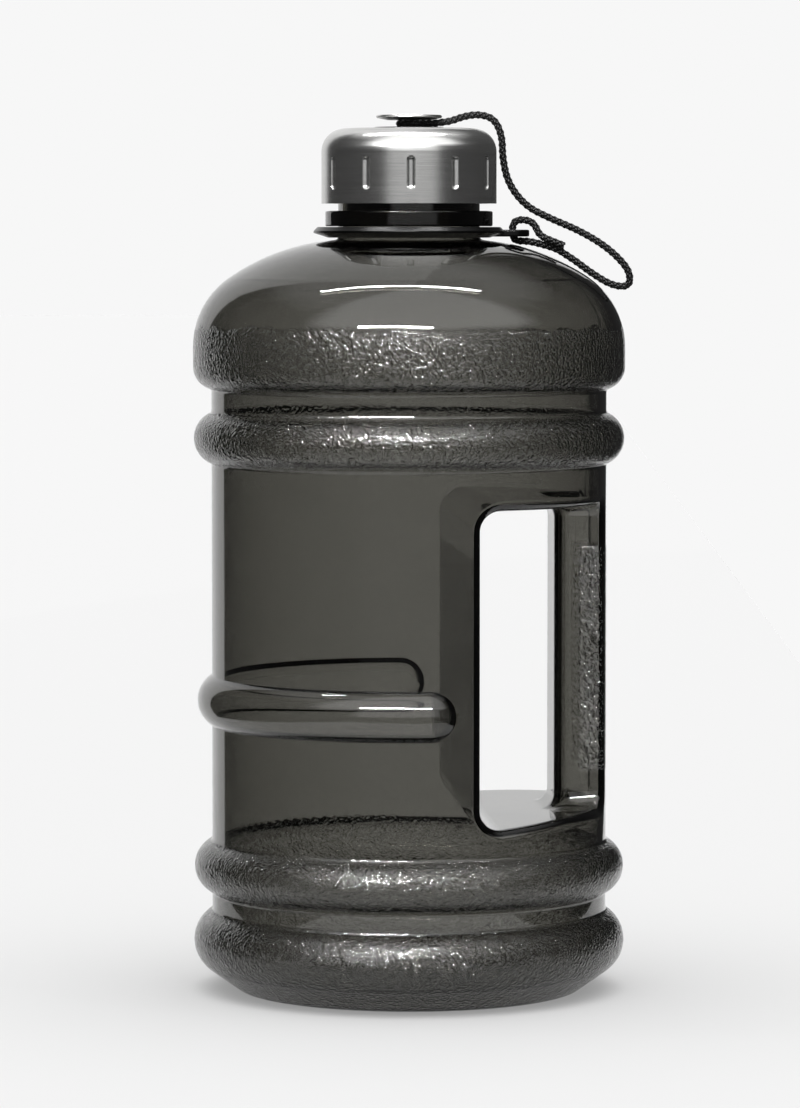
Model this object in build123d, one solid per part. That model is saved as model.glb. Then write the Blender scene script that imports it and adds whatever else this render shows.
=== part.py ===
from build123d import *
import math
import os

# Large 2.2 litre drinking jug: a blow-moulded bottle with a hollow side handle, a steel screw cap with a
# plastic liner, and a braided tether from a post on the cap to a ring that turns on the neck.
# Millimetres. +Z is up, Z = 0 is the surface the jug stands on, the jug's axis is X = Y = 0 and the handle
# is on +X.

# ---------------------------------------------------------------- driving dimensions
WALL = 2.3                      # wall of the bottle

WALL_R = 59.5                   # outside radius of the straight wall and of the grooves
RIB_R = 64.8                    # outside radius of the two ribs
RIB_HALF = 7.7                  # half the height of a rib
LOWER_RIB_Z = 37.4              # middle of the lower rib
UPPER_RIB_Z = 166.5             # middle of the upper rib
RIB_ROOT_FILLET = 1.2

BASE_R = 65.0                   # largest radius of the base rib
BASE_ARC = 10.2                 # radius of its round
BASE_MID_Z = 14.9               # height of its largest radius
BASE_CHAMFER_ANGLE = 52.0       # where the round runs out into the slanting underside
FOOT_OUT_R = 51.5               # flat ring that the jug stands on
FOOT_IN_R = 44.0
FOOT_FILLET = 3.0
PUSH_UP = 8.0                   # rise of the base inside the foot ring
PUSH_UP_HALFWAY = 0.75          # share of it reached halfway in from the foot ring

SHOULDER_R = 65.0               # largest radius of the shoulder
SHOULDER_LOW_ARC = 7.0
SHOULDER_LOW_TURN = -35.0       # an angle on the way round that arc
SHOULDER_LOW_Z = 188.0          # top of the lower round
SHOULDER_TOP_Z = 194.0          # bottom of the dome
SHOULDER_ARC = 25.0             # round at the dome's edge
SHOULDER_ARC_END = 55.0         # angle where that round meets the flatter crown
CROWN_ARC = 64.6

NECK_R = 21.3
NECK_TOP_Z = 254.7
NECK_ROOT_FILLET = 1.0
BEAD_R = 25.2                   # support bead round the neck
BEAD_LOW_Z = 230.0
BEAD_HIGH_Z = 234.6
BEAD_FILLET = 0.5

LEAD = 5.0                      # thread: rise in one turn
THREAD_TURNS = 1.3
THREAD_ROOT_W = 2.0
THREAD_CREST_W = 0.9
THREAD_SINK = 0.3               # how far its root reaches into the wall
NECK_THREAD_Z = 241.0           # start of the thread on the neck
NECK_THREAD_R = 22.8            # its crest
LINER_THREAD_Z = NECK_THREAD_Z - LEAD / 2
LINER_THREAD_R = 21.9

GRIP_Z = 87.5                   # half ring round the back, under the fingers of the second hand
GRIP_PROUD = 4.4
GRIP_ARC = 8.7                  # radius of its round
GRIP_CLEAR_ANGLE = 81.0         # half the angle left free on the handle's side

WINDOW_X = 16.4                 # inner wall of the hand opening
WINDOW_LOW_Z = 53.0             # its floor there
WINDOW_FLOOR_SLOPE = 5.0        # degrees that the floor rises towards the handle's outside
WINDOW_HIGH_Z = 147.0
WINDOW_CORNER = 6.0
WINDOW_EDGE_FILLET = 3.2
HANDLE_X = 43.0                 # face of the handle towards the hand opening
HANDLE_HALF_Y = 15.0
HANDLE_CORNER = 6.0
HANDLE_ROOT_FILLET = 4.5

CAP_R = 26.3
CAP_LOW_Z = 236.8
CAP_TOP_Z = 259.3
CAP_CORNER = 7.0
SHEET = 0.6                     # steel of the cap's shell
DIMPLES = 12
DIMPLE_LOW_Z = 240.6
DIMPLE_HIGH_Z = 251.2
DIMPLE_HALF_W = 1.35
DIMPLE_DEPTH = 0.75
DIMPLE_START = 1.3 - 94.5       # angle of the first pressed slot

LINER_GAP = 0.08                # between the liner and the steel shell
LINER_TOP = 2.2                 # thickness of the liner's top plate
LINER_BORE_R = 23.1
PLUG_R = 18.7                   # sleeve that hangs inside the neck
PLUG_WALL = 1.5
PLUG_LOW_Z = 234.6
PLUG_LIP_FILLET = 0.6
GASKET_GAP = 0.05

POST_R = 1.8                    # post that the cord goes round
POST_GAP = 0.05                 # clearance round the post
WASHER_R = 10.3
WASHER_T = 0.4
CORD_GAP = 2.1                  # room for the cord between washer and button
BUTTON_R = 10.0
BUTTON_T = 0.9
BUTTON_DISH = 0.6
BUTTON_DISH_R = 6.6             # the flat middle of the button
BUTTON_FILLET = 0.15

RING_GAP = 0.06                 # running clearance of the tether ring on the neck
RING_LOW_Z = 226.6
RING_HIGH_Z = 229.8
RING_ROOT_R = 24.3
RING_LIP_R = 28.7
RING_LIP_T = 0.6                # height of the lip's edge
RING_LIP_DROP = 1.2             # how far the lip's top lies below the ring's
RING_CHAMFER = 0.9
RING_FILLET = 0.2
TAB_END_R = 36.3
TAB_HALF_W = 5.0
TAB_LOW_Z = 226.9
TAB_HIGH_Z = 229.0
TAB_HOLE_X = 31.2
TAB_HOLE_R = 1.7
TAB_FILLET = 0.5

HEM_T = 1.2                     # folded hem of the steel shell
HEM_H = 1.0
HEM_FILLET = 0.4

HEAD_R = 3.4                    # head of the post
HEAD_T = 0.55
HEAD_FILLET = 0.44
SCREW_R = 0.95
SCREW_L = 4.6
SCREW_HEAD_R = 3.4
SCREW_HEAD_T = 1.7
SCREW_HEAD_FILLET = 0.77
SCREW_SINK = 0.2                # how far its shank reaches into its head
RECESS_R = 1.1                  # six-sided recess for the key
RECESS_DEPTH = 1.0
SEAL_R = 5.5
SEAL_T = 1.2
INNER_WASHER_R = 6.0
INNER_WASHER_T = 0.8

CORD_R = 1.1
LOOP_CORD_R = 0.98              # the cord is pressed a little flatter under the button
ARC_SHARE = 0.45                # share of a run that the arc at its end takes

FAR = 100.0                     # beyond every part, sideways
OVERLAP = 0.5                   # how far a piece reaches into the one that it is fused to

# ---------------------------------------------------------------- worked-out heights
WINDOW_MID_Z = (WINDOW_LOW_Z + WINDOW_HIGH_Z) / 2
WINDOW_HALF_Z = (WINDOW_HIGH_Z - WINDOW_LOW_Z) / 2
CAP_PLATE_Z = CAP_TOP_Z - SHEET - LINER_GAP
LINER_CEILING_Z = CAP_PLATE_Z - LINER_TOP
BUTTON_LOW_Z = CAP_TOP_Z + WASHER_T + CORD_GAP
LOOP_Z = CAP_TOP_Z + WASHER_T + CORD_GAP / 2
WASHER_SEAT_Z = LINER_CEILING_Z - SEAL_T - INNER_WASHER_T


# ---------------------------------------------------------------- helpers
def upright(edges):
    """Face from a closed outline drawn as (radius, height), stood up in the XZ plane."""
    return Rot(X=90) * make_face(Wire(edges))


def turned(face):
    """Solid of revolution about Z, its seam on the side away from the handle."""
    return revolve(Rot(Z=180) * face, axis=Axis.Z)


def ring(inner_r, outer_r, low_z, high_z):
    """Plain flat ring."""
    height = high_z - low_z
    outside = Cylinder(outer_r, height, align=(Align.CENTER, Align.CENTER, Align.MIN))
    inside = Cylinder(inner_r, height, align=(Align.CENTER, Align.CENTER, Align.MIN))
    return Pos(Z=low_z) * (outside - inside)


def outermost(edge):
    """Distance of the middle of an edge from the jug's axis."""
    mid = edge @ 0.5
    return math.hypot(mid.X, mid.Y)


def drum(radius, low_z, high_z):
    """Plain upright cylinder between two heights."""
    return Pos(Z=low_z) * Cylinder(radius, high_z - low_z, align=(Align.CENTER, Align.CENTER, Align.MIN))


def block(low, high):
    """Box between two opposite corners."""
    size = [b - a for a, b in zip(low, high)]
    return Pos(*low) * Box(*size, align=(Align.MIN, Align.MIN, Align.MIN))


def on_circle(centre, radius, degrees):
    turn = math.radians(degrees)
    return (centre[0] + radius * math.cos(turn), centre[1] + radius * math.sin(turn))


def arc_height(centre, radius, at_r):
    """Height of the upper half of a circle at a radius from the jug's axis."""
    return centre[1] + math.sqrt(radius ** 2 - (at_r - centre[0]) ** 2)


# ---------------------------------------------------------------- bottle
def bottle_outline(top_z):
    """Edges of half the bottle's outline, from the axis at the base to the axis at top_z."""
    base_centre = (BASE_R - BASE_ARC, BASE_MID_Z)
    base_low = on_circle(base_centre, BASE_ARC, -BASE_CHAMFER_ANGLE)
    base_high = (WALL_R, arc_height(base_centre, BASE_ARC, WALL_R))
    low_centre = (SHOULDER_R - SHOULDER_LOW_ARC, SHOULDER_LOW_Z)
    low_start = (WALL_R, 2 * SHOULDER_LOW_Z - arc_height(low_centre, SHOULDER_LOW_ARC, WALL_R))
    dome_centre = (SHOULDER_R - SHOULDER_ARC, SHOULDER_TOP_Z)
    dome_end = on_circle(dome_centre, SHOULDER_ARC, SHOULDER_ARC_END)
    crown_centre = on_circle(dome_centre, SHOULDER_ARC - CROWN_ARC, SHOULDER_ARC_END)
    crown_end = (NECK_R, arc_height(crown_centre, CROWN_ARC, NECK_R))
    crown_mid_r = (dome_end[0] + NECK_R) / 2
    return [
        ThreePointArc((0, PUSH_UP), (FOOT_IN_R / 2, PUSH_UP * PUSH_UP_HALFWAY), (FOOT_IN_R, 0)),
        Line((FOOT_IN_R, 0), (FOOT_OUT_R, 0)),
        Line((FOOT_OUT_R, 0), base_low),
        ThreePointArc(base_low, (BASE_R, BASE_MID_Z), base_high),
        Line(base_high, (WALL_R, LOWER_RIB_Z - RIB_HALF)),
        *rib_arc(LOWER_RIB_Z),
        Line((WALL_R, LOWER_RIB_Z + RIB_HALF), (WALL_R, UPPER_RIB_Z - RIB_HALF)),
        *rib_arc(UPPER_RIB_Z),
        Line((WALL_R, UPPER_RIB_Z + RIB_HALF), low_start),
        ThreePointArc(low_start, on_circle(low_centre, SHOULDER_LOW_ARC, SHOULDER_LOW_TURN),
                      (SHOULDER_R, SHOULDER_LOW_Z)),
        Line((SHOULDER_R, SHOULDER_LOW_Z), (SHOULDER_R, SHOULDER_TOP_Z)),
        ThreePointArc((SHOULDER_R, SHOULDER_TOP_Z),
                      on_circle(dome_centre, SHOULDER_ARC, SHOULDER_ARC_END / 2), dome_end),
        ThreePointArc(dome_end, (crown_mid_r, arc_height(crown_centre, CROWN_ARC, crown_mid_r)), crown_end),
        Line(crown_end, (NECK_R, top_z)),
        Line((NECK_R, top_z), (0, top_z)),
    ]


def rib_arc(mid_z):
    return [ThreePointArc((WALL_R, mid_z - RIB_HALF), (RIB_R, mid_z), (WALL_R, mid_z + RIB_HALF))]


def bottle_face(top_z):
    """Half section of the filled bottle, with its inside corners rounded."""
    face = make_face(Wire(bottle_outline(top_z) + [Line((0, top_z), (0, PUSH_UP))]))
    roots = [v for v in face.vertices() if abs(v.X - WALL_R) < 0.01]
    face = fillet(roots, RIB_ROOT_FILLET)
    neck_root = [v for v in face.vertices() if abs(v.X - NECK_R) < 0.01 and v.Y < BEAD_LOW_Z]
    face = fillet(neck_root, NECK_ROOT_FILLET)
    foot = [v for v in face.vertices() if abs(v.Y) < 0.01]
    return fillet(foot, FOOT_FILLET)


def inner_face():
    """Half section of the bottle's inside: the outline moved in by the wall, with the neck left open."""
    half = bottle_face(NECK_TOP_Z + 4 * WALL)
    whole = half + mirror(half, about=Plane.YZ)
    inside = offset(whole, amount=-WALL)
    keep = Pos(X=FAR / 2) * Rectangle(FAR, 10 * FAR)
    return inside & keep


def grip_bulge(inset):
    """Part ring with ball ends that stands out of the wall; inset is 0 outside and WALL inside."""
    round_r = GRIP_ARC - inset
    middle_r = WALL_R + GRIP_PROUD - GRIP_ARC
    visible_end = math.sqrt(GRIP_ARC**2 - (GRIP_ARC - GRIP_PROUD)**2)
    end_angle = GRIP_CLEAR_ANGLE + math.degrees(visible_end / WALL_R)
    face = Rot(Z=end_angle) * Pos(X=middle_r, Z=GRIP_Z) * Rot(X=90) * Circle(round_r)
    bulge = revolve(face, axis=Axis.Z, revolution_arc=360 - 2 * end_angle)
    half_ball = Sphere(round_r, arc_size3=180, align=None)
    near_end = Rot(Z=end_angle) * Pos(X=middle_r, Z=GRIP_Z) * Rot(Z=180) * half_ball
    far_end = Rot(Z=-end_angle) * Pos(X=middle_r, Z=GRIP_Z) * half_ball
    return bulge + near_end + far_end


def floor_height(x, grow):
    """Height of the hand opening's floor at a distance from the jug's axis; grow is 0 or WALL."""
    slope = math.radians(WINDOW_FLOOR_SLOPE)
    return WINDOW_LOW_Z + (x - WINDOW_X) * math.tan(slope) - grow / math.cos(slope)


def hand_opening(grow):
    """Space cut for the hand, round the handle; grow is 0 outside the wall and WALL inside it."""
    inner_x = WINDOW_X - grow
    high_z = WINDOW_HIGH_Z + grow
    side = Polyline((inner_x, floor_height(inner_x, grow)), (FAR, floor_height(FAR, grow)),
                    (FAR, high_z), (inner_x, high_z), close=True)
    space = extrude(Rot(X=90) * make_face(side), amount=FAR, both=True)
    corners = [e for e in space.edges().filter_by(Axis.Y) if e.center().X < WINDOW_X + 1]
    space = fillet(corners, WINDOW_CORNER + grow)
    handle = block((HANDLE_X + grow, -HANDLE_HALF_Y + grow, 0), (FAR, HANDLE_HALF_Y - grow, NECK_TOP_Z))
    sides = [e for e in handle.edges().filter_by(Axis.Z) if e.center().X < HANDLE_X + grow + 1]
    handle = fillet(sides, HANDLE_CORNER - grow)
    space = space - handle
    roots = [e for e in space.edges() if on_handle_root(e, grow)]
    return fillet(roots, HANDLE_ROOT_FILLET + grow)


def on_handle_root(edge, grow):
    """True for an edge where the handle meets the floor or the ceiling of the hand opening."""
    mid = edge @ 0.5
    on_floor = abs(mid.Z - floor_height(mid.X, grow)) < 0.01
    on_ceiling = abs(mid.Z - WINDOW_HIGH_Z - grow) < 0.01
    beside = HANDLE_X + grow - 0.01 < mid.X < FAR - 1 and abs(mid.Y) < HANDLE_HALF_Y - grow + 0.01
    return beside and (on_floor or on_ceiling)


def on_window_border(edge):
    """True for an edge where the hand opening breaks through the straight wall."""
    points = [edge @ t for t in (0.1, 0.5, 0.9)]
    return all(abs(math.hypot(p.X, p.Y) - WALL_R) < 0.02 and p.X > WINDOW_X - 0.1
               and abs(p.Y) > HANDLE_HALF_Y - 0.1 and abs(p.Z - WINDOW_MID_Z) < WINDOW_HALF_Z + 0.1
               for p in points)


def thread(root_r, crest_r, start_z):
    """Right-hand ridge round the neck (crest outside the root) or inside the liner (crest inside it)."""
    side = 1 if crest_r > root_r else -1
    path = Helix(LEAD, LEAD * THREAD_TURNS, root_r, center=(0, 0, start_z))
    root_x = -THREAD_SINK * side
    crest_x = crest_r - root_r
    section = Polyline((root_x, -THREAD_ROOT_W / 2), (crest_x, -THREAD_CREST_W / 2),
                       (crest_x, THREAD_CREST_W / 2), (root_x, THREAD_ROOT_W / 2), close=True)
    plane = Plane(origin=path @ 0, x_dir=(1, 0, 0), z_dir=(0, -1, 0))
    return sweep(plane * make_face(section), path=path, is_frenet=True)


def jug_body():
    outside = turned(Rot(X=90) * bottle_face(NECK_TOP_Z))
    outside = outside - hand_opening(0)
    outside = fillet([e for e in outside.edges() if on_window_border(e)], WINDOW_EDGE_FILLET)
    outside = outside + grip_bulge(0)
    inside = turned(Rot(X=90) * inner_face()) - hand_opening(WALL)
    inside = inside + grip_bulge(WALL)
    bead = ring(NECK_R - OVERLAP, BEAD_R, BEAD_LOW_Z, BEAD_HIGH_Z)
    rims = [e for e in bead.edges().filter_by(GeomType.CIRCLE) if outermost(e) > NECK_R]
    bead = fillet(rims, BEAD_FILLET)
    return outside + bead + thread(NECK_R, NECK_THREAD_R, NECK_THREAD_Z) - inside


# ---------------------------------------------------------------- cap
def shell_solid(inset):
    """Filled shape of the steel shell; inset 0 is its outside."""
    body = drum(CAP_R - inset, CAP_LOW_Z, CAP_TOP_Z - inset)
    body = fillet(body.edges().sort_by(Axis.Z)[-1], CAP_CORNER - inset)
    return body - dimples(inset)


def dimples(grow):
    """The pressed slots, each an upright round-ended rod sunk into the side."""
    rod_r = (DIMPLE_HALF_W ** 2 + DIMPLE_DEPTH ** 2) / (2 * DIMPLE_DEPTH)
    centre_r = CAP_R + rod_r - DIMPLE_DEPTH
    low = DIMPLE_LOW_Z + rod_r
    high = DIMPLE_HIGH_Z - rod_r
    ball = Sphere(rod_r + grow)
    rod = drum(rod_r + grow, low, high) + Pos(Z=low) * ball + Pos(Z=high) * ball
    step = 360 / DIMPLES
    return [Rot(Z=DIMPLE_START + i * step) * Pos(X=centre_r) * rod for i in range(DIMPLES)]


def cap_shell():
    """Pressed steel shell with a folded hem round its mouth and a hole for the post."""
    hem = ring(CAP_R - HEM_T, CAP_R - SHEET / 2, CAP_LOW_Z, CAP_LOW_Z + HEM_H)
    inner_rims = [e for e in hem.edges().filter_by(GeomType.CIRCLE) if outermost(e) < CAP_R - SHEET]
    shell = shell_solid(0) - shell_solid(SHEET) + fillet(inner_rims, HEM_FILLET)
    return shell - post_hole(CAP_TOP_Z - 2 * SHEET, CAP_TOP_Z + SHEET)


def post_hole(low_z, high_z):
    """Space that the post passes through."""
    return drum(POST_R + POST_GAP, low_z, high_z)


def cap_liner():
    """Plastic liner with the thread, and a sleeve that hangs inside the neck."""
    low = CAP_LOW_Z + HEM_H + LINER_GAP
    body = drum(CAP_R - SHEET - LINER_GAP, low, CAP_PLATE_Z)
    body = fillet(body.edges().sort_by(Axis.Z)[-1], CAP_CORNER - SHEET + LINER_GAP)
    body = body - dimples(SHEET + LINER_GAP)
    sleeve = ring(PLUG_R - PLUG_WALL, PLUG_R, PLUG_LOW_Z, LINER_CEILING_Z + OVERLAP)
    lips = [e for e in sleeve.edges().filter_by(GeomType.CIRCLE) if (e @ 0).Z < LINER_CEILING_Z]
    sleeve = fillet(lips, PLUG_LIP_FILLET)
    body = body - drum(LINER_BORE_R, low - OVERLAP, LINER_CEILING_Z) + sleeve
    body = body + thread(LINER_BORE_R, LINER_THREAD_R, LINER_THREAD_Z)
    return body - post_hole(LINER_CEILING_Z - OVERLAP, CAP_TOP_Z)


def cap_gasket():
    """Flat silicone ring over the neck's lip."""
    inner_r = PLUG_R + 2 * GASKET_GAP
    outer_r = LINER_BORE_R - 4 * GASKET_GAP
    return ring(inner_r, outer_r, NECK_TOP_Z + GASKET_GAP, LINER_CEILING_Z)


def button_disc():
    """Round steel button, dished so that its rim stands above its middle."""
    low = BUTTON_LOW_Z
    high = low + BUTTON_T
    hole = POST_R + POST_GAP
    bevel = 0.4 * BUTTON_T
    outline = Polyline((hole, low), (BUTTON_DISH_R, low), (BUTTON_R - bevel, low + BUTTON_DISH),
                       (BUTTON_R, low + BUTTON_DISH + bevel), (BUTTON_R - bevel, high + BUTTON_DISH),
                       (BUTTON_R - 3 * bevel, high + BUTTON_DISH), (BUTTON_DISH_R - bevel, high),
                       (hole, high), close=True)
    face = make_face(outline)
    soft = [v for v in face.vertices() if v.X > BUTTON_DISH_R / 2]
    return turned(Rot(X=90) * fillet(soft, BUTTON_FILLET))


def cap_post():
    """Post riveted through the button: a low round head, a plain barrel and a threaded hole from below."""
    seat = BUTTON_LOW_Z + BUTTON_T
    head = drum(HEAD_R, seat, seat + HEAD_T)
    head = fillet(head.edges().sort_by(Axis.Z)[-1], HEAD_FILLET)
    low = WASHER_SEAT_Z + 2 * POST_GAP
    barrel = drum(POST_R, low, seat + HEAD_T / 2)
    return head + barrel - drum(SCREW_R + POST_GAP, low, low + SCREW_L)


def post_screw():
    """Pan-head screw that closes the post from inside the cap, with a six-sided recess."""
    low = WASHER_SEAT_Z - SCREW_HEAD_T
    head = drum(SCREW_HEAD_R, low, WASHER_SEAT_Z)
    head = fillet(head.edges().sort_by(Axis.Z)[0], SCREW_HEAD_FILLET)
    shank = drum(SCREW_R, WASHER_SEAT_Z - SCREW_SINK, WASHER_SEAT_Z - SCREW_SINK + SCREW_L)
    recess = Pos(Z=low) * extrude(RegularPolygon(RECESS_R, 6), RECESS_DEPTH)
    return head + shank - recess


def swivel_washer():
    """Thin nylon washer that the cord's loop turns on."""
    return ring(POST_R + POST_GAP, WASHER_R, CAP_TOP_Z, CAP_TOP_Z + WASHER_T)


def seal_washer():
    """Silicone washer that seals the post's hole under the liner."""
    return ring(POST_R + POST_GAP, SEAL_R, LINER_CEILING_Z - SEAL_T, LINER_CEILING_Z)


def inner_washer():
    """Steel washer between the silicone washer and the screw's head."""
    return ring(POST_R + POST_GAP, INNER_WASHER_R, WASHER_SEAT_Z, LINER_CEILING_Z - SEAL_T)


# ---------------------------------------------------------------- tether
def neck_ring():
    """Plastic ring that turns on the neck under the bead, with a flared lip and a tab for the cord."""
    bore = NECK_R + RING_GAP
    lip_low = RING_HIGH_Z - RING_LIP_DROP - RING_LIP_T
    outline = Polyline((bore, RING_LOW_Z + RING_CHAMFER), (bore + RING_CHAMFER, RING_LOW_Z),
                       (RING_ROOT_R, RING_LOW_Z), (RING_LIP_R, lip_low), (RING_LIP_R, lip_low + RING_LIP_T),
                       (RING_LIP_R - RING_LIP_DROP, RING_HIGH_Z), (bore, RING_HIGH_Z), close=True)
    face = make_face(outline)
    soft = [v for v in face.vertices() if v.X > bore + RING_CHAMFER + 0.01]
    collar = turned(Rot(X=90) * fillet(soft, RING_FILLET))
    tab_mid_x = TAB_END_R - TAB_HALF_W
    tab = block((bore + RING_CHAMFER, -TAB_HALF_W, TAB_LOW_Z), (tab_mid_x, TAB_HALF_W, TAB_HIGH_Z))
    tab = tab + Pos(X=tab_mid_x) * drum(TAB_HALF_W, TAB_LOW_Z, TAB_HIGH_Z)
    flat = [e for e in tab.edges() if e.bounding_box().size.Z < 0.01]
    tab = fillet([e for e in flat if e.center().X > RING_ROOT_R], TAB_FILLET)
    return collar + tab - Pos(X=TAB_HOLE_X) * drum(TAB_HOLE_R, RING_LOW_Z, RING_HIGH_Z)


def corner_radii(points):
    """Radius for each corner of a route: as large as its two runs allow."""
    radii = []
    for before, corner, after in zip(points, points[1:], points[2:]):
        arriving = Vector(*corner) - Vector(*before)
        leaving = Vector(*after) - Vector(*corner)
        half_turn = math.radians(arriving.get_angle(leaving)) / 2
        radii.append(ARC_SHARE * min(arriving.length, leaving.length) / math.tan(half_turn))
    return radii


def cord(name, points, cord_r):
    """Round cord along a route of straight runs joined by tangent arcs."""
    radii = corner_radii(points)
    path = FilletPolyline(*points, radius=radii)
    start = Plane(origin=path @ 0, z_dir=path % 0)
    tube = sweep(start * Circle(cord_r), path=path)
    print(name, "radii", [round(r, 1) for r in radii], "length", round(path.length, 1),
          "volume ratio", round(tube.volume / (math.pi * cord_r ** 2 * path.length), 4))
    return tube


# Route of the cord, from the post on the cap, over the cap's edge, out and back to the ring's tab.
POST_LOOP = [
    (9.8, 1.05, LOOP_Z + 0.4),
    (6.6, 1.05, LOOP_Z),
    (2.2, 2.9, LOOP_Z),
    (-2.9, 2.9, LOOP_Z),
    (-2.9, -2.9, LOOP_Z),
    (2.2, -2.9, LOOP_Z),
    (6.6, -1.05, LOOP_Z),
    (9.4, -1.05, LOOP_Z + 0.3),
]
TETHER = [
    (9.8, 1.05, LOOP_Z + 0.4),
    (12.6, 1.05, LOOP_Z + 0.75),
    (17.0, 0.8, 263.1),
    (21.6, 0.6, 263.6),
    (25.9, 0.3, 262.1),
    (28.1, 0.1, 257.0),
    (28.2, 0.0, 250.4),
    (29.9, -0.2, 242.8),
    (35.2, -0.4, 236.0),
    (43.0, -0.5, 232.2),
    (50.8, -0.3, 229.0),
    (57.8, 0.0, 225.1),
    (63.0, 0.3, 221.0),
    (66.9, 0.6, 216.4),
    (66.9, 0.9, 211.8),
    (61.6, 1.0, 212.1),
    (55.2, 0.8, 216.0),
    (50.4, 0.65, 219.6),
    (47.6, 0.58, 221.4),
]
TAB_LOOP = [
    (47.6, 0.58, 221.4),
    (44.8, 0.51, 223.2),
    (40.6, 0.4, 224.5),
    (36.0, 0.2, 225.6),
    (TAB_HOLE_X, 0.0, 225.6),
    (TAB_HOLE_X, 0.0, 231.2),
    (34.0, -0.4, 232.2),
    (37.6, -1.0, 231.2),
    (39.2, -1.6, 227.2),
    (43.0, -1.9, 225.6),
    (46.6, -2.0, 224.2),
]

PARTS = {
    "jug_body": jug_body,
    "cap_shell": cap_shell,
    "cap_liner": cap_liner,
    "cap_gasket": cap_gasket,
    "button_disc": button_disc,
    "cap_post": cap_post,
    "post_screw": post_screw,
    "inner_washer": inner_washer,
    "seal_washer": seal_washer,
    "swivel_washer": swivel_washer,
    "neck_ring": neck_ring,
    "tether_cord": lambda: cord("tether_cord", TETHER, CORD_R),
    "cord_post_loop": lambda: cord("cord_post_loop", POST_LOOP, LOOP_CORD_R),
    "cord_tab_loop": lambda: cord("cord_tab_loop", TAB_LOOP, CORD_R),
}

os.makedirs("parts", exist_ok=True)
for node, make in PARTS.items():
    export_step(make(), "parts/" + node + ".step")
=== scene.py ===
import math

import bpy
import numpy as np
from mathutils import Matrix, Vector


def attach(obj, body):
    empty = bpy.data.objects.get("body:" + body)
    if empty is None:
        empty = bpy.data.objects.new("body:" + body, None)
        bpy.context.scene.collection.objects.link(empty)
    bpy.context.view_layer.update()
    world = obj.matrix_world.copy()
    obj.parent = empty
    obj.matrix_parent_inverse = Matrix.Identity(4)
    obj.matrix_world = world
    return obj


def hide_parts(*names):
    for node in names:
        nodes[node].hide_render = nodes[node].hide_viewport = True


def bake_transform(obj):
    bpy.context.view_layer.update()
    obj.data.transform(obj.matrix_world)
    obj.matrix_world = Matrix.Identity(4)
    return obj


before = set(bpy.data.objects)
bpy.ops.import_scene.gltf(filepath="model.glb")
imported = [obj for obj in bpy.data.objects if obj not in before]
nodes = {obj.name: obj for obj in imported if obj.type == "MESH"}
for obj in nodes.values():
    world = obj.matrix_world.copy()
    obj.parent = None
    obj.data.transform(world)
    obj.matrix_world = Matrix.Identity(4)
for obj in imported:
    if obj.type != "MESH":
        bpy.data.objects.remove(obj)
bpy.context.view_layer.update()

# ---------------------------------------------------------------- camera
SENSOR_WIDTH = 36               # millimetres, along the image's longer side
LENS = 162.455                  # millimetres
CAMERA_DISTANCE = 1.5056
CAMERA_HEIGHT = 0.2289
CAMERA_AZIMUTH = math.radians(-4.5)
CAMERA_PITCH = math.radians(3.708)
CAMERA_YAW = math.radians(0.10313)


def make_camera():
    data = bpy.data.cameras.new("camera")
    data.sensor_width = SENSOR_WIDTH
    data.lens = LENS
    data.clip_start = 0.05
    data.clip_end = 60
    camera = bpy.data.objects.new("camera", data)
    bpy.context.scene.collection.objects.link(camera)
    camera.location = (CAMERA_DISTANCE * math.sin(CAMERA_AZIMUTH),
                       -CAMERA_DISTANCE * math.cos(CAMERA_AZIMUTH), CAMERA_HEIGHT)
    camera.rotation_euler = (math.radians(90) - CAMERA_PITCH, 0, CAMERA_AZIMUTH + CAMERA_YAW)
    bpy.context.scene.camera = camera


make_camera()

# ---------------------------------------------------------------- cord
LOOP_Z = 0.26075
TAB_HOLE_X = 0.0312
POST_LOOP = [
    (0.0098, 0.00105, LOOP_Z + 0.0004),
    (0.0066, 0.00105, LOOP_Z),
    (0.0022, 0.0029, LOOP_Z),
    (-0.0029, 0.0029, LOOP_Z),
    (-0.0029, -0.0029, LOOP_Z),
    (0.0022, -0.0029, LOOP_Z),
    (0.0066, -0.00105, LOOP_Z),
    (0.0094, -0.00105, LOOP_Z + 0.0003),
]
TETHER = [
    (0.0126, 0.00105, LOOP_Z + 0.00075),
    (0.0170, 0.0008, 0.2631),
    (0.0216, 0.0006, 0.2636),
    (0.0259, 0.0003, 0.2621),
    (0.0281, 0.0001, 0.2570),
    (0.0282, 0.0, 0.2504),
    (0.0299, -0.0002, 0.2428),
    (0.0352, -0.0004, 0.2360),
    (0.0430, -0.0005, 0.2322),
    (0.0508, -0.0003, 0.2290),
    (0.0578, 0.0, 0.2251),
    (0.0630, 0.0003, 0.2210),
    (0.0669, 0.0006, 0.2164),
    (0.0669, 0.0009, 0.2118),
    (0.0616, 0.0010, 0.2121),
    (0.0552, 0.0008, 0.2160),
    (0.0504, 0.00065, 0.2196),
    (0.0476, 0.00058, 0.2214),
]
TAB_LOOP = [
    (0.0448, 0.00051, 0.2232),
    (0.0406, 0.0004, 0.2245),
    (0.0360, 0.0002, 0.2256),
    (TAB_HOLE_X, 0.0, 0.2256),
    (TAB_HOLE_X, 0.0, 0.2312),
    (0.0340, -0.0004, 0.2322),
    (0.0376, -0.0010, 0.2312),
    (0.0392, -0.0016, 0.2272),
    (0.0430, -0.0019, 0.2256),
    (0.0466, -0.0020, 0.2242),
]
ROUTE = POST_LOOP[::-1] + TETHER + TAB_LOOP

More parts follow.
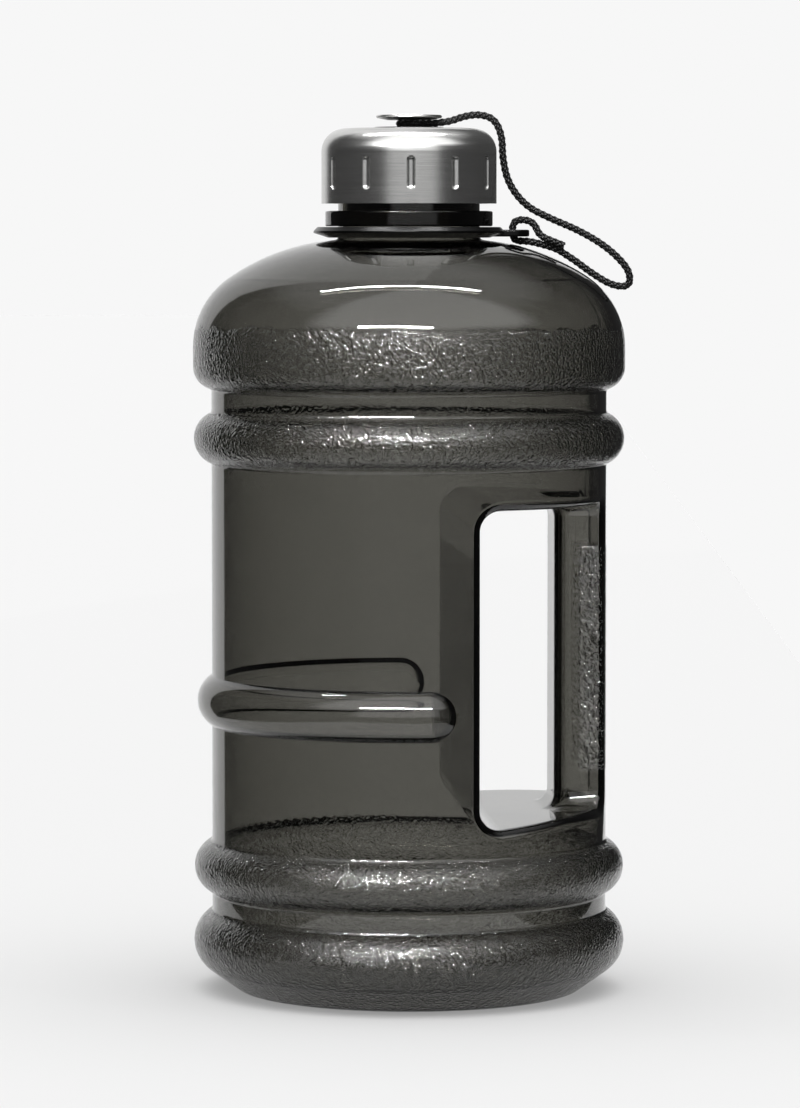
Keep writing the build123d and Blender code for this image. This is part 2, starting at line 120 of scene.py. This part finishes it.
STEP = 0.0003                   # between rings of the cord's mesh
STRANDS = 4                     # in each direction of the braid
STRAND_SIDES = 6
BRAID_PITCH = 0.0074
STRAND_MIDDLE = 0.00078
STRAND_RISE = 0.00018           # how far a strand goes over and under its neighbours
STRAND_HALF_WIDTH = 0.00046
STRAND_HALF_THICKNESS = 0.00022
CORE_SIDES = 16
CORE_SHARE = 0.8                # the core's radius as a share of the strands' middle
PRESSED = 0.9                   # under the button the cord is a little thinner
PRESSED_LENGTH = 0.026
PRESSED_EASE = 0.004


def spline_points(route):
    """Points of the smooth line that has the route as its control points."""
    curve = bpy.data.curves.new("cord_line", "CURVE")
    curve.dimensions = "3D"
    spline = curve.splines.new("NURBS")
    spline.points.add(len(route) - 1)
    for point, at in zip(spline.points, route):
        point.co = (*at, 1)
    spline.order_u = 3
    spline.use_endpoint_u = True
    spline.resolution_u = 24
    line = bpy.data.objects.new("cord_line", curve)
    mesh = bpy.data.meshes.new_from_object(line)
    points = np.array([v.co for v in mesh.vertices])
    bpy.data.objects.remove(line)
    bpy.data.curves.remove(curve)
    bpy.data.meshes.remove(mesh)
    return points


def even(points, step):
    """The line's points again, the same distance apart, and that distance along it at each."""
    along = np.concatenate([[0], np.cumsum(np.linalg.norm(np.diff(points, axis=0), axis=1))])
    at = np.linspace(0, along[-1], int(along[-1] / step) + 1)
    return np.stack([np.interp(at, along, points[:, k]) for k in range(3)], 1), at


def frames(points):
    """Two directions across the line at each point, without twist."""
    ahead = np.gradient(points, axis=0)
    ahead /= np.linalg.norm(ahead, axis=1)[:, None]
    side = np.cross(ahead[0], (0, 0, 1.0))
    side /= np.linalg.norm(side)
    sides = []
    for direction in ahead:
        side = side - direction * side.dot(direction)
        side /= np.linalg.norm(side)
        sides.append(side)
    sides = np.array(sides)
    return sides, np.cross(ahead, sides)


def tube(rings):
    """Closed tube through the rings, an array of rings by points by 3."""
    count, around, _ = rings.shape
    verts = [tuple(p) for p in rings.reshape(-1, 3)]
    faces = [list(range(around))[::-1]]
    faces.append([(count - 1) * around + k for k in range(around)])
    for i in range(count - 1):
        for k in range(around):
            here, there = i * around + k, i * around + (k + 1) % around
            faces.append([here, there, there + around, here + around])
    return verts, faces


def circle(sides):
    """Cosines and sines of even steps round a circle, ready to multiply rings."""
    turn = np.arange(sides) * 2 * math.pi / sides
    return np.cos(turn)[None, :, None], np.sin(turn)[None, :, None]


def strand(points, along, across, up, narrow, hand, number):
    """Rings of one flat strand that winds round the line; hand is 1 or -1."""
    sweep = 2 * math.pi * along / BRAID_PITCH
    angle = hand * sweep + 2 * math.pi * number / STRANDS
    radius = (STRAND_MIDDLE + hand * STRAND_RISE * np.cos(sweep * STRANDS)) * narrow
    outward = np.cos(angle)[:, None] * across + np.sin(angle)[:, None] * up
    middle = points + outward * radius[:, None]
    ahead = np.gradient(middle, axis=0)
    ahead /= np.linalg.norm(ahead, axis=1)[:, None]
    sideways = np.cross(ahead, outward)
    cosines, sines = circle(STRAND_SIDES)
    return middle[:, None] + cosines * sideways[:, None] * STRAND_HALF_WIDTH \
        + sines * outward[:, None] * STRAND_HALF_THICKNESS


def make_cord():
    points, along = even(spline_points(ROUTE), STEP)
    across, up = frames(points)
    narrow = np.interp(along, [PRESSED_LENGTH, PRESSED_LENGTH + PRESSED_EASE], [PRESSED, 1.0])
    cosines, sines = circle(CORE_SIDES)
    ring = cosines * across[:, None] + sines * up[:, None]
    tubes = [points[:, None] + ring * (CORE_SHARE * STRAND_MIDDLE * narrow)[:, None, None]]
    for hand in (1, -1):
        for number in range(STRANDS):
            tubes.append(strand(points, along, across, up, narrow, hand, number))
    verts, faces = [], []
    for rings in tubes:
        new_verts, new_faces = tube(rings)
        faces.extend([[v + len(verts) for v in face] for face in new_faces])
        verts.extend(new_verts)
    mesh = bpy.data.meshes.new("cord")
    mesh.from_pydata(verts, [], faces)
    mesh.polygons.foreach_set("use_smooth", [True] * len(mesh.polygons))
    cord = bpy.data.objects.new("cord", mesh)
    bpy.context.scene.collection.objects.link(cord)
    return cord, points


def dress_cord():
    cord, points = make_cord()
    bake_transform(cord)
    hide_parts("tether_cord", "cord_post_loop", "cord_tab_loop")
    return cord


cord = dress_cord()


# ---------------------------------------------------------------- node helpers
def new_material(name):
    material = bpy.data.materials.new(name)
    material.use_nodes = True
    tree = material.node_tree
    return material, tree, tree.nodes["Principled BSDF"], tree.nodes["Material Output"]


def add(tree, kind, **inputs):
    node = tree.nodes.new(kind)
    for name, value in inputs.items():
        node.inputs[name.replace("_", " ")].default_value = value
    return node


def math_node(tree, operation, a, b=0.0, c=None):
    node = tree.nodes.new("ShaderNodeMath")
    node.operation = operation
    for socket, value in zip(node.inputs, (a, b, c)):
        if value is None:
            continue
        if isinstance(value, (int, float)):
            socket.default_value = value
        else:
            tree.links.new(value, socket)
    return node.outputs[0]


def ramp(tree, factor, stops):
    node = tree.nodes.new("ShaderNodeValToRGB")
    elements = node.color_ramp.elements
    while len(elements) < len(stops):
        elements.new(0.5)
    for element, (at, colour) in zip(elements, stops):
        element.position = at
        element.color = (*colour, 1) if isinstance(colour, tuple) else (colour, colour, colour, 1)
    tree.links.new(factor, node.inputs[0])
    return node.outputs[0]


def place(tree):
    """Object coordinates, their parts, and the distance from the jug's axis."""
    coords = tree.nodes.new("ShaderNodeTexCoord").outputs["Object"]
    split = tree.nodes.new("ShaderNodeSeparateXYZ")
    tree.links.new(coords, split.inputs[0])
    x, y, z = split.outputs
    radius = math_node(tree, "SQRT", math_node(tree, "ADD", math_node(tree, "MULTIPLY", x, x),
                                               math_node(tree, "MULTIPLY", y, y)))
    return coords, x, y, z, radius


def noise(tree, vector, scale, detail=2.0, roughness=0.5):
    node = add(tree, "ShaderNodeTexNoise", Scale=scale, Detail=detail, Roughness=roughness)
    tree.links.new(vector, node.inputs["Vector"])
    return node


def bump(tree, shader, height, distance, strength=1.0):
    node = add(tree, "ShaderNodeBump", Strength=strength, Distance=distance)
    tree.links.new(height, node.inputs["Height"])
    tree.links.new(node.outputs[0], shader.inputs["Normal"])


def map_range(tree, value, source, target, interpolation="LINEAR"):
    """The value with the source's two ends turned into the target's, and held past them."""
    node = tree.nodes.new("ShaderNodeMapRange")
    node.interpolation_type = interpolation
    tree.links.new(value, node.inputs["Value"])
    node.inputs["From Min"].default_value, node.inputs["From Max"].default_value = source
    node.inputs["To Min"].default_value, node.inputs["To Max"].default_value = target
    return node.outputs[0]


def spread(tree, factor, low, high):
    """The factor's 0 to 1 turned into low to high."""
    return map_range(tree, factor, (0.0, 1.0), (low, high))


def between(tree, value, low, high, soft):
    """1 where the value lies between low and high, with soft edges."""
    rise = map_range(tree, value, (low - soft, low + soft), (0.0, 1.0), "SMOOTHSTEP")
    fall = map_range(tree, value, (high - soft, high + soft), (1.0, 0.0), "SMOOTHSTEP")
    return math_node(tree, "MULTIPLY", rise, fall)


# ---------------------------------------------------------------- materials
# Noise scales are per metre and all lengths are metres.
GRAIN_SCALE = 720.0
WANDER_SCALE = 420.0
WANDER = 0.0011                 # how far the grain is pushed sideways
GRAIN_DEPTH = 0.0011            # bump distance for a whole unit of noise
VALLEY_HALF = 0.075             # half a valley's width, in units of noise
VALLEY_FLOOR = 0.03
VALLEY_ROUND = 0.05
# how dark the painted shade in the grain's valleys makes the plastic's tint
VALLEY_PAINTED_SHADE = 0.58
EDGE = 0.0005                   # over which the grain sets in

SHOULDER_BAND = (0.1800, 0.1955)
RAGGED = 0.008                  # how far the band's upper edge wanders above that
RAGGED_SCALE = 90.0
UPPER_RIB = (0.1570, 0.1760)
FOOT_AND_LOWER_RIB = (0.0002, 0.0470)
FOOT_TOP = 0.024                # below this the foot is grained right to its underside
PROUD = (0.0597, 0.0604)        # the grain sets in where a rib stands out of the wall
HANDLE_X = (0.0500, 0.0900)
HANDLE_Z = (0.0670, 0.1340)
POCKET_X = (0.0137, 0.0167)     # both skins of the wall between the bottle and the hand opening
POCKET_Z = (0.0600, 0.1330)
POCKET_R = 0.0566               # inside the round wall


def leather_grain(tree, coords):
    """Winding rounded ridges under 1 mm apart, like grained leather: their height, and a mask of their
    valleys for painted shade.
    """
    wander = noise(tree, coords, WANDER_SCALE, 1.0)
    shift = tree.nodes.new("ShaderNodeVectorMath")
    shift.operation = "MULTIPLY_ADD"
    tree.links.new(wander.outputs["Color"], shift.inputs[0])
    shift.inputs[1].default_value = (WANDER, WANDER, WANDER)
    tree.links.new(coords, shift.inputs[2])
    ridges = noise(tree, shift.outputs[0], GRAIN_SCALE, 1.0, 0.35).outputs[0]
    off_middle = math_node(tree, "ABSOLUTE", math_node(tree, "SUBTRACT", ridges, 0.5))
    height = math_node(tree, "SMOOTH_MAX", off_middle, VALLEY_FLOOR, VALLEY_ROUND)
    painted_shade_valleys = map_range(tree, off_middle, (0.0, VALLEY_HALF), (1.0, 0.0))
    return height, painted_shade_valleys


def leather_mask(tree, coords, x, z, radius):
    """1 on the grained parts of the bottle."""
    ragged = noise(tree, coords, RAGGED_SCALE, 3.0).outputs[0]
    shoulder_top = math_node(tree, "MULTIPLY_ADD", ragged, RAGGED, SHOULDER_BAND[1])
    shoulder = math_node(tree, "MULTIPLY",
                         between(tree, z, SHOULDER_BAND[0], SHOULDER_BAND[1] + 2 * RAGGED, EDGE),
                         math_node(tree, "LESS_THAN", z, shoulder_top))
    ribs = math_node(tree, "MAXIMUM", between(tree, z, *UPPER_RIB, EDGE),
                     between(tree, z, *FOOT_AND_LOWER_RIB, EDGE / 2))
    proud = math_node(tree, "MAXIMUM", map_range(tree, radius, PROUD, (0.0, 1.0)),
                      math_node(tree, "LESS_THAN", z, FOOT_TOP))
    bands = math_node(tree, "MULTIPLY", math_node(tree, "MAXIMUM", shoulder, ribs), proud)
    handle = math_node(tree, "MULTIPLY", between(tree, x, *HANDLE_X, EDGE),
                       between(tree, z, *HANDLE_Z, EDGE))
    outer = tree.nodes.new("ShaderNodeAttribute")
    outer.attribute_name = "outer_skin"
    outside = math_node(tree, "MULTIPLY", math_node(tree, "MAXIMUM", bands, handle), outer.outputs["Fac"])
    pocket = math_node(tree, "MULTIPLY", between(tree, x, *POCKET_X, EDGE / 5),
                       between(tree, z, *POCKET_Z, EDGE))
    pocket = math_node(tree, "MULTIPLY", pocket, math_node(tree, "LESS_THAN", radius, POCKET_R))
    return math_node(tree, "MAXIMUM", outside, pocket)


SMOKE_DENSITY = 545.0           # per metre
SMOKE_COLOUR = (0.104, 0.092, 0.037, 1)


def smoked_plastic():
    """Clear plastic that darkens with the length of the way through its wall, with painted shade in the
    valleys of its grain.
    """
    material, tree, shader, output = new_material("smoked_plastic")
    shader.inputs["Transmission Weight"].default_value = 1.0
    shader.inputs["IOR"].default_value = 1.57
    coords, x, _, z, radius = place(tree)
    mask = leather_mask(tree, coords, x, z, radius)
    grain, painted_shade_valleys = leather_grain(tree, coords)
    # Painted shade: the tint darkens in the grain's valleys, standing in for light lost in them
    shade = ramp(tree, math_node(tree, "MULTIPLY", mask, painted_shade_valleys), [(0.0, 1.0), (1.0, VALLEY_PAINTED_SHADE)])
    tree.links.new(shade, shader.inputs["Base Color"])
    tree.links.new(spread(tree, mask, 0.015, 0.09), shader.inputs["Roughness"])
    waves = noise(tree, coords, 45.0, 1.0).outputs[0]
    height = math_node(tree, "ADD", math_node(tree, "MULTIPLY", mask, grain),
                       math_node(tree, "MULTIPLY", waves, 0.04))
    bump(tree, shader, height, GRAIN_DEPTH)
    absorb = add(tree, "ShaderNodeVolumeAbsorption", Density=SMOKE_DENSITY, Color=SMOKE_COLOUR)
    tree.links.new(absorb.outputs[0], output.inputs["Volume"])
    return material


def brushed_steel(name, colour, line_bump):
    """Steel with fine lines that run round the axis."""
    material, tree, shader, _ = new_material(name)
    coords, x, y, z, radius = place(tree)
    around = math_node(tree, "ARCTAN2", y, x)
    lines = tree.nodes.new("ShaderNodeCombineXYZ")
    tree.links.new(math_node(tree, "MULTIPLY", around, 1.2), lines.inputs[0])
    tree.links.new(math_node(tree, "MULTIPLY", z, 5200.0), lines.inputs[1])
    tree.links.new(math_node(tree, "MULTIPLY", radius, 5200.0), lines.inputs[2])
    scratches = noise(tree, lines.outputs[0], 1.0, 3.0, 0.7).outputs[0]
    blotches = noise(tree, coords, 120.0, 3.0).outputs[0]
    shader.inputs["Metallic"].default_value = 1.0
    shade = math_node(tree, "ADD", math_node(tree, "MULTIPLY", scratches, 0.75),
                      math_node(tree, "MULTIPLY", blotches, 0.25))
    low, high = tuple(0.8 * c for c in colour), tuple(min(1.0, 1.15 * c) for c in colour)
    tree.links.new(ramp(tree, shade, [(0.25, low), (0.75, high)]), shader.inputs["Base Color"])
    tree.links.new(spread(tree, scratches, 0.16, 0.28), shader.inputs["Roughness"])
    shader.inputs["Anisotropic"].default_value = 0.6
    tangent = tree.nodes.new("ShaderNodeTangent")
    tangent.direction_type = "RADIAL"
    tangent.axis = "Z"
    tree.links.new(tangent.outputs[0], shader.inputs["Tangent"])
    bump(tree, shader, scratches, line_bump)
    return material


def moulded(name, colour, roughness, sheen=0.5, grain=0.00001, grain_scale=2600.0):
    """Moulded plastic or rubber with a fine eroded texture and a slight change of sheen."""
    material, tree, shader, _ = new_material(name)
    coords, *_ = place(tree)
    fine = noise(tree, coords, grain_scale, 3.0, 0.6).outputs[0]
    broad = noise(tree, coords, 110.0, 3.0).outputs[0]
    darker = tuple(0.85 * c for c in colour)
    paler = tuple(min(1.0, 1.2 * c) for c in colour)
    tree.links.new(ramp(tree, broad, [(0.3, darker), (0.7, paler)]), shader.inputs["Base Color"])
    tree.links.new(spread(tree, broad, roughness - 0.06, roughness + 0.06), shader.inputs["Roughness"])
    shader.inputs["Specular IOR Level"].default_value = sheen
    bump(tree, shader, fine, grain)
    return material


def braid_yarn():
    """Glossy black filament yarn, its fibres along each strand."""
    material, tree, shader, _ = new_material("cord_braid")
    coords, *_ = place(tree)
    fibres = noise(tree, coords, 6500.0, 2.0, 0.6).outputs[0]
    tree.links.new(ramp(tree, fibres, [(0.3, (0.003, 0.003, 0.003)), (0.7, (0.012, 0.012, 0.012))]),
                   shader.inputs["Base Color"])
    tree.links.new(spread(tree, fibres, 0.36, 0.52), shader.inputs["Roughness"])
    shader.inputs["Specular IOR Level"].default_value = 0.25
    shader.inputs["Sheen Weight"].default_value = 0.03
    shader.inputs["Sheen Roughness"].default_value = 0.4
    bump(tree, shader, fibres, 0.00003)
    return material


def paint(piece, material):
    piece.data.materials.clear()
    piece.data.materials.append(material)


# ---------------------------------------------------------------- bottle
NECK_TOP = 0.2547


def skin_of_faces(mesh):
    """For each face, 1 on the outer skin and 0 on the inner one; they meet at the top of the neck."""
    parent = list(range(len(mesh.vertices)))

    def root(v):
        while parent[v] != v:
            parent[v] = parent[parent[v]]
            v = parent[v]
        return v

    places = {}
    for v in mesh.vertices:
        key = tuple(round(c * 1e6) for c in v.co)
        parent[v.index] = places.setdefault(key, v.index)
    for face in mesh.polygons:
        if face.center.z > NECK_TOP - 0.0002:
            continue
        first = root(face.vertices[0])
        for v in face.vertices[1:]:
            parent[root(v)] = first
    lowest = min(mesh.vertices, key=lambda v: v.co.z).index
    outer = root(lowest)
    return [1.0 if root(face.vertices[0]) == outer else 0.0 for face in mesh.polygons]


def make_bottle():
    mesh = nodes["jug_body"].data.copy()
    mesh.name = "bottle"
    skin = mesh.attributes.new("outer_skin", "FLOAT", "FACE")
    skin.data.foreach_set("value", skin_of_faces(mesh))
    bottle = bpy.data.objects.new("bottle", mesh)
    bottle.matrix_world = nodes["jug_body"].matrix_world.copy()
    bpy.context.scene.collection.objects.link(bottle)
    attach(bottle, "jug")
    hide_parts("jug_body")
    return bottle


# ---------------------------------------------------------------- surroundings
WALL_LEVEL = 0.93               # what the camera sees round the jug
DARK_LEVEL = 0.04               # what shiny surfaces mirror elsewhere
FRONT_LEVELS = (0.10, 1.05)     # of the front panel, below and above the horizon
CEILING_LEVEL = 1.65
ZENITH_LEVEL = 0.6
BACK_PANEL = (-38.5, 14.5)      # degrees from straight behind, right positive
FRONT_PANEL = (-33.5, 34.5)     # degrees from straight in front, right positive
CEILING = (-62, 70)
LIT_LEVEL = 1.16                # light on matt surfaces
LIT_POWER = 3.0                 # how much of it comes from above: the level goes with height to this power
LIT_GAIN = 2.5                  # keeps the sum of that the same as even light's

FLOOR_ALBEDO = 0.55
FLOOR_TRIM = 0.025              # taken off the floor's own light, so that far off it equals the wall
FLOOR_RIGHT_EDGE = [(0.20, -0.27, 0), (0.22, 0.30, 0), (1.30, 12, 0)]


def mirrored_level(tree, x, y, z):
    """What shiny surfaces see in each direction: bright panels behind, in front and above."""
    back_turn = math_node(tree, "ARCTAN2", x, y)
    front_turn = math_node(tree, "ARCTAN2", x, math_node(tree, "MULTIPLY", y, -1.0))
    back = between(tree, back_turn, *np.radians(BACK_PANEL).tolist(), math.radians(1.5))
    front = math_node(tree, "MULTIPLY",
                      between(tree, front_turn, *np.radians(FRONT_PANEL).tolist(), math.radians(4.0)),
                      between(tree, z, -0.35, 0.42, 0.02))
    ceiling = math_node(tree, "MULTIPLY",
                        between(tree, front_turn, *np.radians(CEILING).tolist(), math.radians(12)),
                        between(tree, z, 0.45, 1.2, 0.1))
    zenith = between(tree, z, 0.75, 1.5, 0.15)
    panels = [math_node(tree, "MULTIPLY", back, WALL_LEVEL),
              math_node(tree, "MULTIPLY", front, map_range(tree, z, (-0.03, 0.06), FRONT_LEVELS)),
              math_node(tree, "MULTIPLY_ADD", ceiling, CEILING_LEVEL, DARK_LEVEL),
              math_node(tree, "MULTIPLY", zenith, ZENITH_LEVEL)]
    level = panels[0]
    for panel in panels[1:]:
        level = math_node(tree, "MAXIMUM", level, panel)
    return level


def make_world():
    """A pale studio. Matt surfaces are lit from above, and shiny ones mirror panels with dark between."""
    world = bpy.data.worlds.new("studio")
    bpy.context.scene.world = world
    world.use_nodes = True
    tree = world.node_tree
    output = tree.nodes["World Output"]
    pale = tree.nodes["Background"]
    rays = tree.nodes.new("ShaderNodeLightPath")
    coords = tree.nodes.new("ShaderNodeTexCoord")
    split = tree.nodes.new("ShaderNodeSeparateXYZ")
    tree.links.new(coords.outputs["Generated"], split.inputs[0])
    x, y, z = split.outputs
    from_above = math_node(tree, "POWER", math_node(tree, "MAXIMUM", z, 0.0), LIT_POWER)
    lit = math_node(tree, "MULTIPLY_ADD", from_above, LIT_GAIN * LIT_LEVEL, -WALL_LEVEL)
    tree.links.new(math_node(tree, "MULTIPLY_ADD", rays.outputs["Is Diffuse Ray"], lit, WALL_LEVEL),
                   pale.inputs["Color"])
    mirrored = tree.nodes.new("ShaderNodeBackground")
    tree.links.new(mirrored_level(tree, x, y, z), mirrored.inputs["Color"])
    mix = tree.nodes.new("ShaderNodeMixShader")
    tree.links.new(rays.outputs["Is Glossy Ray"], mix.inputs[0])
    tree.links.new(pale.outputs[0], mix.inputs[1])
    tree.links.new(mirrored.outputs[0], mix.inputs[2])
    tree.links.new(mix.outputs[0], output.inputs["Surface"])


def make_floor():
    """A pale paper sweep; some of its light is its own, so that the jug's shadow stays faint."""
    left_edge = [(-x, y, z) for x, y, z in reversed(FLOOR_RIGHT_EDGE)]
    corners = FLOOR_RIGHT_EDGE + left_edge
    mesh = bpy.data.meshes.new("floor")
    mesh.from_pydata(corners, [], [tuple(range(len(corners)))])
    floor = bpy.data.objects.new("floor", mesh)
    bpy.context.scene.collection.objects.link(floor)
    material, _, shader, _ = new_material("floor_paper")
    shader.inputs["Base Color"].default_value = (FLOOR_ALBEDO, FLOOR_ALBEDO, FLOOR_ALBEDO, 1)
    shader.inputs["Roughness"].default_value = 1.0
    shader.inputs["Specular IOR Level"].default_value = 0.0
    shader.inputs["Emission Color"].default_value = (1, 1, 1, 1)
    shader.inputs["Emission Strength"].default_value = WALL_LEVEL - FLOOR_ALBEDO * LIT_LEVEL - FLOOR_TRIM
    floor.data.materials.append(material)


def softbox(name, azimuth, elevation, distance, size, radiance, aim=(0, 0, 0.13)):
    """Area light round the jug: azimuth 0 is in front, to the right is positive."""
    turn, rise = math.radians(azimuth) + CAMERA_AZIMUTH, math.radians(elevation)
    way = Vector((math.sin(turn) * math.cos(rise), -math.cos(turn) * math.cos(rise), math.sin(rise)))
    data = bpy.data.lights.new(name, "AREA")
    data.shape = "RECTANGLE"
    data.size, data.size_y = size
    data.energy = radiance * math.pi * size[0] * size[1]
    lamp = bpy.data.objects.new(name, data)
    bpy.context.scene.collection.objects.link(lamp)
    lamp.location = Vector(aim) + way * distance
    lamp.rotation_euler = (-way).to_track_quat("-Z", "Y").to_euler()
    lamp.visible_diffuse = False
    lamp.visible_camera = False


make_world()
make_floor()
softbox("overhead_strip", 176, 86, 1.25, (1.15, 0.07), 42.0, aim=(-0.07, 0, 0.2))
softbox("front_strip", -8, 33, 1.3, (0.80, 0.055), 260.0)
bpy.context.scene.view_settings.view_transform = "Standard"

# ---------------------------------------------------------------- dressing
bottle = make_bottle()
paint(bottle, smoked_plastic())
paint(cord, braid_yarn())
paint(nodes["cap_shell"], brushed_steel("cap_steel", (0.60, 0.60, 0.59), 0.000006))
BUTTON_STEEL = brushed_steel("button_steel", (0.62, 0.62, 0.61), 0.000004)
SCREW_STEEL = brushed_steel("screw_steel", (0.55, 0.55, 0.55), 0.000003)
BLACK = moulded("black_plastic", (0.004, 0.004, 0.004), 0.24, 0.18)
SILICONE = moulded("silicone", (0.62, 0.62, 0.60), 0.5)
NYLON = moulded("nylon", (0.012, 0.012, 0.012), 0.4, 0.3)
for name in ("button_disc", "cap_post"):
    paint(nodes[name], BUTTON_STEEL)
for name in ("post_screw", "inner_washer"):
    paint(nodes[name], SCREW_STEEL)
for name in ("cap_liner", "neck_ring"):
    paint(nodes[name], BLACK)
paint(nodes["swivel_washer"], NYLON)
for name in ("cap_gasket", "seal_washer"):
    paint(nodes[name], SILICONE)
